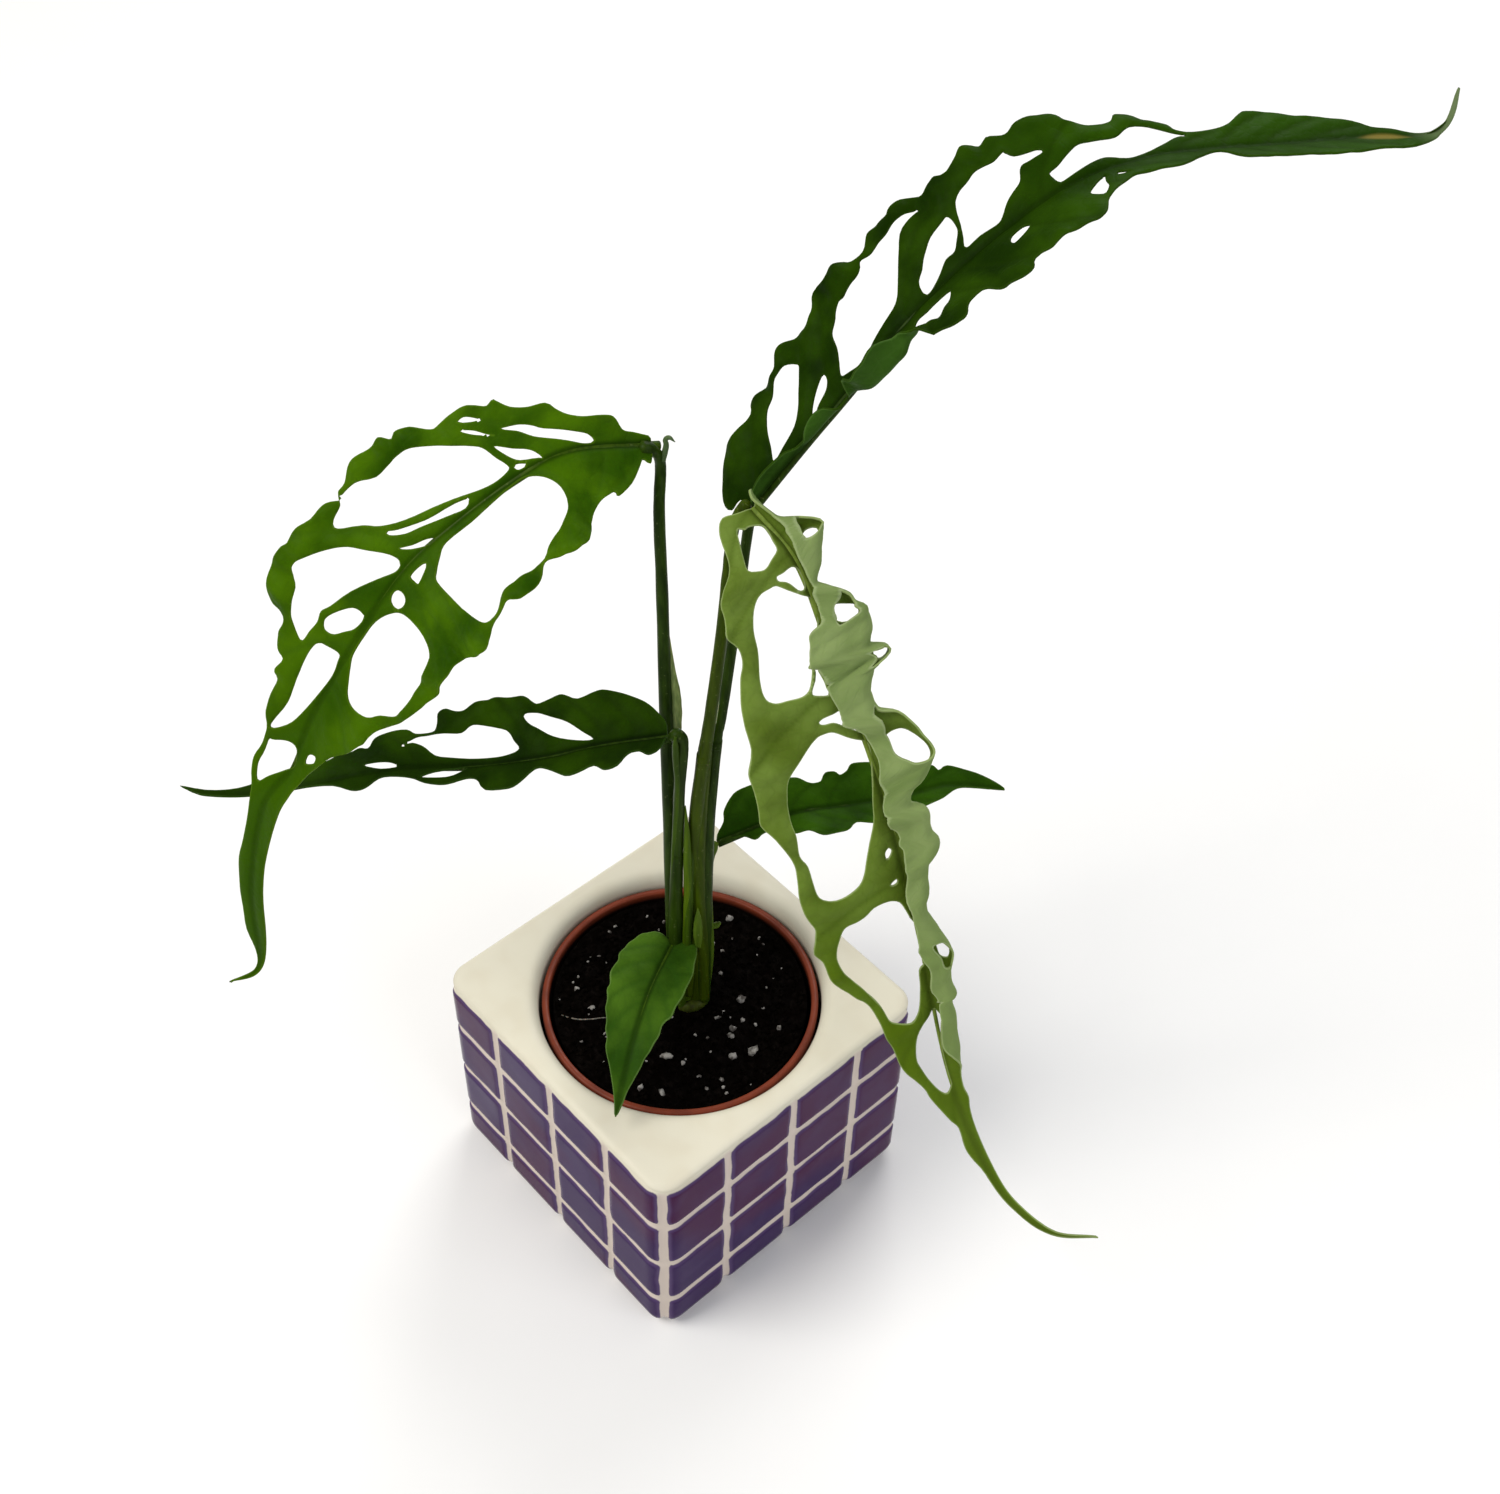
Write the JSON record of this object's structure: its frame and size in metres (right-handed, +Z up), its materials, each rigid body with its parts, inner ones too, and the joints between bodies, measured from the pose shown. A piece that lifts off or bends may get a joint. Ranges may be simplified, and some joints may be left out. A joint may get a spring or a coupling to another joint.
{
  "type": "potted monstera obliqua peru",
  "caption": "Leafy aroid house plant with window-holed leaves on thin stalks, in a nursery pot of soil standing in a glazed cube planter with tiled sides.",
  "frame": {"origin": "centre of the planter's underside", "axes": "+Z up; the planter's sides face +X, -X, +Y and -Y, and the corner between +X and -Y faces the viewer"},
  "size_m": [0.1859, 0.2482, 0.2565],
  "materials": {
    "glazed_ceramic": "cream glaze with raised purple glazed tiles in grout lines",
    "pot_plastic": "terracotta-brown moulded plastic",
    "soil": "moist dark potting mix with perlite grains",
    "stalk": "smooth green stalk, satin",
    "dry_sheath": "thin pale sheath",
    "leaf_dark": "glossy dark green leaf",
    "leaf_olive": "satin olive green leaf, pale underside"
  },
  "bodies": {
    "root": {"ceramic_planter": "glazed_ceramic", "nursery_pot": "pot_plastic", "potting_mix": "soil", "stem_crown": "stalk", "petiole_upper_left": "stalk", "petiole_upper_right": "stalk", "petiole_hanging": "stalk", "petiole_lower_left": "stalk", "petiole_back": "stalk", "petiole_front": "stalk", "sheath_left": "dry_sheath", "sheath_bud": "stalk", "leaf_upper_right": "leaf_dark", "leaf_upper_left": "leaf_dark", "leaf_lower_left": "leaf_dark", "leaf_back": "leaf_dark", "leaf_hanging": "leaf_olive", "leaf_front": "leaf_olive"}
  },
  "joints": []
}
